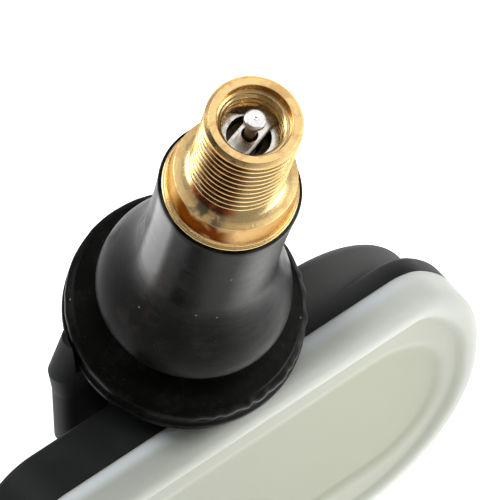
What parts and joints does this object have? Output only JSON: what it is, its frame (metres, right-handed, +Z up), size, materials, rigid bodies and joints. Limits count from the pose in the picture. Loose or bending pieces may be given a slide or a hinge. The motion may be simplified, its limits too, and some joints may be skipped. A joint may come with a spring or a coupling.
{
  "type": "tyre pressure sensor",
  "caption": "Snap-in tyre pressure sensor: a rubber covered brass valve stem with a sprung valve core, on a black moulded body with a milky cover.",
  "frame": {"origin": "middle of the flat long side of the housing that the body stands on", "axes": "+X along the body towards the battery dome, +Y towards the back of the housing, +Z up from the long side to the stem side; the stem leans 14 degrees from +Z towards -Y, where the milky cover is"},
  "size_m": [0.0492, 0.0228, 0.0698],
  "materials": {
    "black_plastic": "moulded, slightly satin",
    "milky_plastic": "translucent, moulded",
    "black_rubber": "moulded, soft sheen",
    "turned_brass": "turned, bright",
    "nickel": "plated",
    "core_brass": "turned",
    "red_seal": "moulded",
    "seal_rubber": "moulded",
    "spring_steel": "drawn wire",
    "screw_steel": "zinc plated",
    "board_green": "solder mask",
    "cell_steel": "nickel plated",
    "chip_plastic": "moulded",
    "filter_membrane": "porous",
    "ferrite": "sintered",
    "copper_wire": "enamelled",
    "ceramic": "fired"
  },
  "bodies": {
    "sensor": {"housing": "black_plastic", "cover": "milky_plastic", "rubber_stem": "black_rubber", "brass_stem": "turned_brass", "core_plug": "nickel", "core_barrel": "core_brass", "barrel_seal": "red_seal", "core_spring": "spring_steel", "retaining_screw": "screw_steel", "circuit_board": "board_green", "battery_cell": "cell_steel", "battery_tab_plus": "cell_steel", "battery_tab_minus": "cell_steel", "pressure_chip": "chip_plastic", "port_gasket": "seal_rubber", "port_filter": "filter_membrane", "coil_core": "ferrite", "coil_winding": "copper_wire", "antenna": "copper_wire", "crystal": "cell_steel", "capacitors": "ceramic"},
    "valve_pin": {"core_pin": "nickel", "core_cup": "core_brass", "cup_seal": "seal_rubber"}
  },
  "joints": [
    {"name": "pin_press", "type": "slide", "parent": "sensor", "child": "valve_pin", "axis": [0, 0.2419, -0.9703], "range_m": [0, 0.0014], "stiffness_N_per_m": 1200, "deforming": ["core_spring"]}
  ]
}
